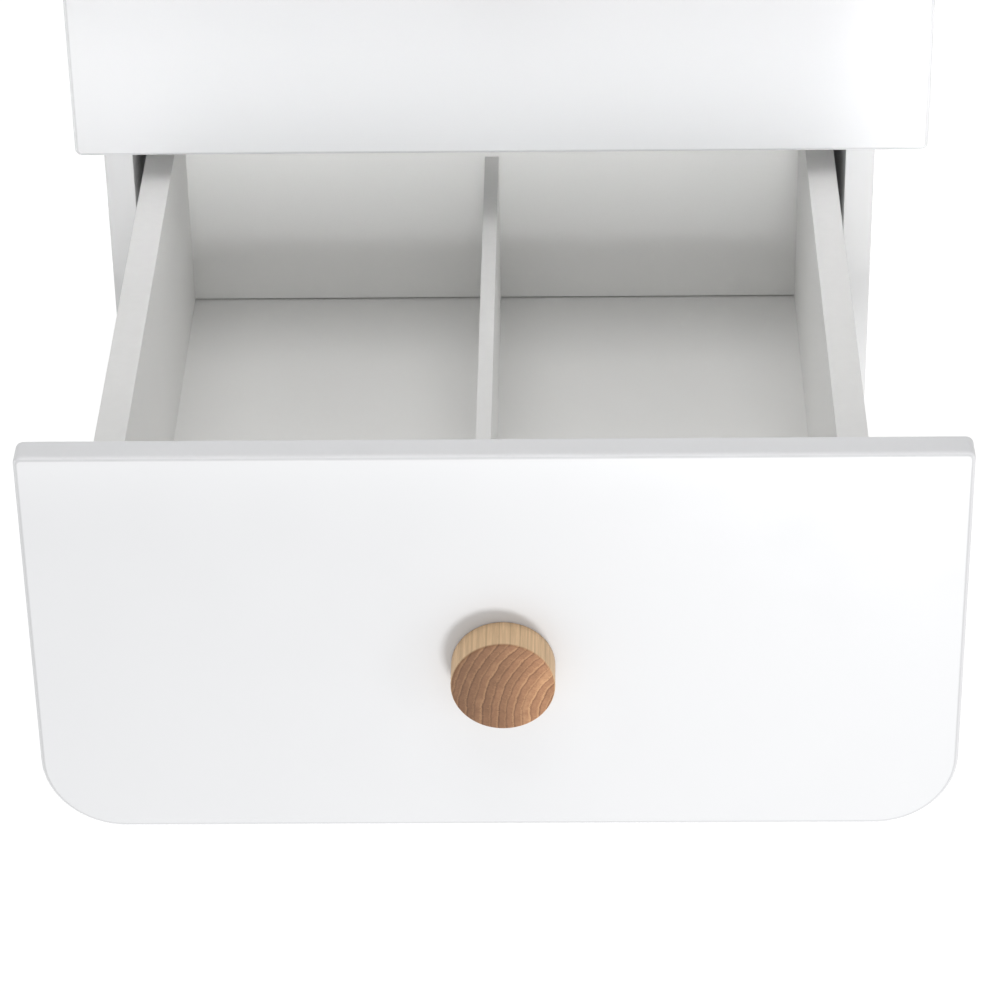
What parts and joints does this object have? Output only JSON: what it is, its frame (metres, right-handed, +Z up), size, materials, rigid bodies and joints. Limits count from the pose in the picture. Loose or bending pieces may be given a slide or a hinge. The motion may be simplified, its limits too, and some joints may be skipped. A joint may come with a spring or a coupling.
{
  "type": "drawer organizer",
  "caption": "Free-standing desk organizer cabinet of white lacquered board, with stacked pull-out drawers, divided boxes, concealed runners and round oak knobs.",
  "frame": {"origin": "on the surface the feet stand on, under the middle of the fronts and half way along the whole depth with the lower drawer pulled out as drawn", "axes": "+X to the right along the fronts, +Y from the front to the back, +Z up"},
  "size_m": [0.36, 0.5836, 0.3784],
  "materials": {
    "fronts": "satin white lacquer on board, rounded edges",
    "carcass_board": "satin white lacquered board",
    "drawer_board": "matt white faced board",
    "back_board": "thin painted hardboard",
    "oak": "oiled solid oak, end grain on the face",
    "dowel_beech": "plain beech",
    "zinc_steel": "zinc-plated sheet steel",
    "screw_steel": "zinc-plated steel",
    "cam_zinc": "die-cast zinc",
    "carriage_plastic": "dark acetal",
    "catch_plastic": "grey moulded plastic",
    "lever_plastic": "orange moulded plastic",
    "foot_rubber": "matt rubber",
    "bumper_rubber": "soft milky rubber"
  },
  "bodies": {
    "root": {"carcass_top": "carcass_board", "carcass_bottom": "carcass_board", "carcass_left": "carcass_board", "carcass_right": "carcass_board", "carcass_rail": "carcass_board", "carcass_back": "back_board", "carcass_dowels": "dowel_beech", "cam_bolts": "screw_steel", "cam_discs": "cam_zinc", "foot_screws": "screw_steel", "runner_screws": "screw_steel", "front_bumpers": "bumper_rubber", "foot_front_left": "foot_rubber", "foot_rear_left": "foot_rubber", "foot_front_right": "foot_rubber", "foot_rear_right": "foot_rubber", "lower_left_rail": "zinc_steel", "lower_right_rail": "zinc_steel", "upper_left_rail": "zinc_steel", "upper_right_rail": "zinc_steel"},
    "lower_drawer": {"lower_front": "fronts", "lower_knob": "oak", "lower_knob_screw": "screw_steel", "lower_inner_front": "drawer_board", "lower_box_back": "drawer_board", "lower_box_floor": "drawer_board", "lower_divider": "drawer_board", "lower_box_left": "drawer_board", "lower_box_right": "drawer_board", "lower_front_screws": "screw_steel", "lower_box_screws": "screw_steel", "lower_floor_screws": "screw_steel", "lower_left_sleeve": "zinc_steel", "lower_left_catch": "catch_plastic", "lower_right_sleeve": "zinc_steel", "lower_right_catch": "catch_plastic"},
    "lower_left_carriage": {"lower_left_carriage": "carriage_plastic"},
    "lower_left_release_lever": {"lower_left_release_lever": "lever_plastic"},
    "lower_right_carriage": {"lower_right_carriage": "carriage_plastic"},
    "lower_right_release_lever": {"lower_right_release_lever": "lever_plastic"},
    "upper_drawer": {"upper_front": "fronts", "upper_knob": "oak", "upper_knob_screw": "screw_steel", "upper_inner_front": "drawer_board", "upper_box_back": "drawer_board", "upper_box_floor": "drawer_board", "upper_divider": "drawer_board", "upper_box_left": "drawer_board", "upper_box_right": "drawer_board", "upper_front_screws": "screw_steel", "upper_box_screws": "screw_steel", "upper_floor_screws": "screw_steel", "upper_left_sleeve": "zinc_steel", "upper_left_catch": "catch_plastic", "upper_right_sleeve": "zinc_steel", "upper_right_catch": "catch_plastic"},
    "upper_left_carriage": {"upper_left_carriage": "carriage_plastic"},
    "upper_left_release_lever": {"upper_left_release_lever": "lever_plastic"},
    "upper_right_carriage": {"upper_right_carriage": "carriage_plastic"},
    "upper_right_release_lever": {"upper_right_release_lever": "lever_plastic"}
  },
  "joints": [
    {"name": "lower_drawer_slide", "type": "slide", "parent": "root", "child": "lower_drawer", "axis": [0, -1, 0], "range_m": [-0.234, 0.006]},
    {"name": "lower_left_carriage_slide", "type": "slide", "parent": "root", "child": "lower_left_carriage", "axis": [0, -1, 0], "range_m": [-0.117, 0.003]},
    {"name": "lower_left_lever_pivot", "type": "hinge", "parent": "lower_drawer", "child": "lower_left_release_lever", "pos_m": [-0.0976, -0.2418, 0.0623], "axis": [0, 0, -1], "range_deg": [0, 12], "stiffness_Nm_per_rad": 0.05},
    {"name": "lower_right_carriage_slide", "type": "slide", "parent": "root", "child": "lower_right_carriage", "axis": [0, -1, 0], "range_m": [-0.117, 0.003]},
    {"name": "lower_right_lever_pivot", "type": "hinge", "parent": "lower_drawer", "child": "lower_right_release_lever", "pos_m": [0.0868, -0.2418, 0.0623], "axis": [0, 0, 1], "range_deg": [0, 12], "stiffness_Nm_per_rad": 0.05},
    {"name": "upper_drawer_slide", "type": "slide", "parent": "root", "child": "upper_drawer", "axis": [0, -1, 0], "range_m": [0, 0.24]},
    {"name": "upper_left_carriage_slide", "type": "slide", "parent": "root", "child": "upper_left_carriage", "axis": [0, -1, 0], "range_m": [0, 0.12]},
    {"name": "upper_left_lever_pivot", "type": "hinge", "parent": "upper_drawer", "child": "upper_left_release_lever", "pos_m": [-0.0976, -0.0078, 0.2382], "axis": [0, 0, -1], "range_deg": [0, 12], "stiffness_Nm_per_rad": 0.05},
    {"name": "upper_right_carriage_slide", "type": "slide", "parent": "root", "child": "upper_right_carriage", "axis": [0, -1, 0], "range_m": [0, 0.12]},
    {"name": "upper_right_lever_pivot", "type": "hinge", "parent": "upper_drawer", "child": "upper_right_release_lever", "pos_m": [0.0868, -0.0078, 0.2382], "axis": [0, 0, 1], "range_deg": [0, 12], "stiffness_Nm_per_rad": 0.05}
  ],
  "couplings": [
    {"joint": "lower_left_carriage_slide", "follows": "lower_drawer_slide", "ratio": 0.5},
    {"joint": "lower_right_carriage_slide", "follows": "lower_drawer_slide", "ratio": 0.5},
    {"joint": "upper_left_carriage_slide", "follows": "upper_drawer_slide", "ratio": 0.5},
    {"joint": "upper_right_carriage_slide", "follows": "upper_drawer_slide", "ratio": 0.5}
  ]
}
